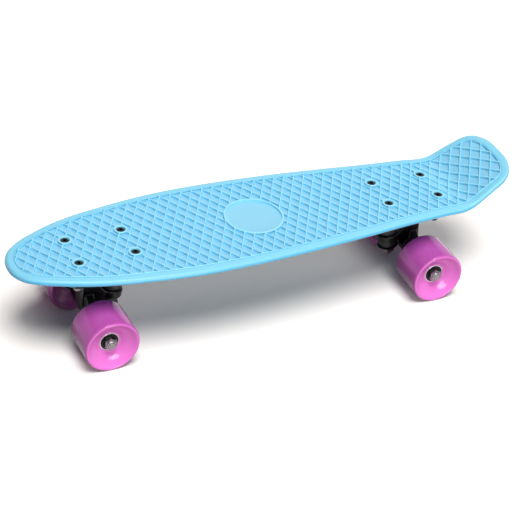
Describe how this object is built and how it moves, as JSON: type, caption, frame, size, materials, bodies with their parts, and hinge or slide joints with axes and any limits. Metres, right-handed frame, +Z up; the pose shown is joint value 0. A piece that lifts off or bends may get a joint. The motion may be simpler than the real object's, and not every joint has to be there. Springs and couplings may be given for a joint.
{
  "type": "cruiser skateboard",
  "caption": "Small moulded plastic cruiser board with a kick tail, trucks that lean on bushings to steer, and wheels that spin on bearings.",
  "frame": {"origin": "on the ground that the wheels stand on, under the middle of the deck's length and width", "axes": "+X along the board from the nose to the kick tail, +Y across the board, away from the side that the picture shows, +Z up"},
  "size_m": [0.5718, 0.1526, 0.1325],
  "materials": {
    "deck_plastic": "satin",
    "wheel_urethane": "glossy, smooth",
    "truck_paint": "glossy",
    "bright_steel": "bright plated",
    "black_steel": "satin black oxide",
    "bearing_steel": "polished",
    "bushing_urethane": "matt",
    "cup_plastic": "matt"
  },
  "bodies": {
    "board": {"deck": "deck_plastic", "front_deck_bolt_1": "black_steel", "front_deck_bolt_2": "black_steel", "front_deck_bolt_3": "black_steel", "front_deck_bolt_4": "black_steel", "front_deck_lock_nut_1": "bright_steel", "front_deck_lock_nut_2": "bright_steel", "front_deck_lock_nut_3": "bright_steel", "front_deck_lock_nut_4": "bright_steel", "front_baseplate": "truck_paint", "front_pivot_cup": "cup_plastic", "front_kingpin": "black_steel", "front_kingpin_nut": "bright_steel", "front_boardside_bushing": "bushing_urethane", "front_roadside_bushing": "bushing_urethane", "front_boardside_cup_washer": "bright_steel", "front_roadside_cup_washer": "black_steel", "rear_deck_bolt_1": "black_steel", "rear_deck_bolt_2": "black_steel", "rear_deck_bolt_3": "black_steel", "rear_deck_bolt_4": "black_steel", "rear_deck_lock_nut_1": "bright_steel", "rear_deck_lock_nut_2": "bright_steel", "rear_deck_lock_nut_3": "bright_steel", "rear_deck_lock_nut_4": "bright_steel", "rear_baseplate": "truck_paint", "rear_pivot_cup": "cup_plastic", "rear_kingpin": "black_steel", "rear_kingpin_nut": "bright_steel", "rear_boardside_bushing": "bushing_urethane", "rear_roadside_bushing": "bushing_urethane", "rear_boardside_cup_washer": "bright_steel", "rear_roadside_cup_washer": "black_steel"},
    "front_truck": {"front_hanger": "truck_paint", "front_axle": "bright_steel", "front_left_speed_washer": "bright_steel", "front_left_axle_nut": "bright_steel", "front_right_speed_washer": "bright_steel", "front_right_axle_nut": "bright_steel"},
    "rear_truck": {"rear_hanger": "truck_paint", "rear_axle": "bright_steel", "rear_left_speed_washer": "bright_steel", "rear_left_axle_nut": "bright_steel", "rear_right_speed_washer": "bright_steel", "rear_right_axle_nut": "bright_steel"},
    "front_left_wheel": {"front_left_wheel": "wheel_urethane", "front_left_outer_bearing": "bearing_steel", "front_left_inner_bearing": "bearing_steel"},
    "front_right_wheel": {"front_right_wheel": "wheel_urethane", "front_right_outer_bearing": "bearing_steel", "front_right_inner_bearing": "bearing_steel"},
    "rear_left_wheel": {"rear_left_wheel": "wheel_urethane", "rear_left_outer_bearing": "bearing_steel", "rear_left_inner_bearing": "bearing_steel"},
    "rear_right_wheel": {"rear_right_wheel": "wheel_urethane", "rear_right_outer_bearing": "bearing_steel", "rear_right_inner_bearing": "bearing_steel"}
  },
  "joints": [
    {"name": "front_truck_lean", "type": "hinge", "parent": "board", "child": "front_truck", "pos_m": [-0.17254, 0, 0.04431], "axis": [0.8378, 0, -0.546], "range_deg": [-12, 12], "stiffness_Nm_per_rad": 25, "deforming": ["front_boardside_bushing", "front_roadside_bushing"]},
    {"name": "rear_truck_lean", "type": "hinge", "parent": "board", "child": "rear_truck", "pos_m": [0.15734, 0, 0.04431], "axis": [-0.8378, 0, -0.546], "range_deg": [-12, 12], "stiffness_Nm_per_rad": 25, "deforming": ["rear_boardside_bushing", "rear_roadside_bushing"]},
    {"name": "front_left_wheel_spin", "type": "hinge", "parent": "front_truck", "child": "front_left_wheel", "pos_m": [-0.1979, -0.0539, 0.02981], "axis": [0, 1, 0], "continuous": true},
    {"name": "front_right_wheel_spin", "type": "hinge", "parent": "front_truck", "child": "front_right_wheel", "pos_m": [-0.1979, 0.0539, 0.02981], "axis": [0, 1, 0], "continuous": true},
    {"name": "rear_left_wheel_spin", "type": "hinge", "parent": "rear_truck", "child": "rear_left_wheel", "pos_m": [0.1827, -0.0539, 0.02981], "axis": [0, 1, 0], "continuous": true},
    {"name": "rear_right_wheel_spin", "type": "hinge", "parent": "rear_truck", "child": "rear_right_wheel", "pos_m": [0.1827, 0.0539, 0.02981], "axis": [0, 1, 0], "continuous": true}
  ]
}
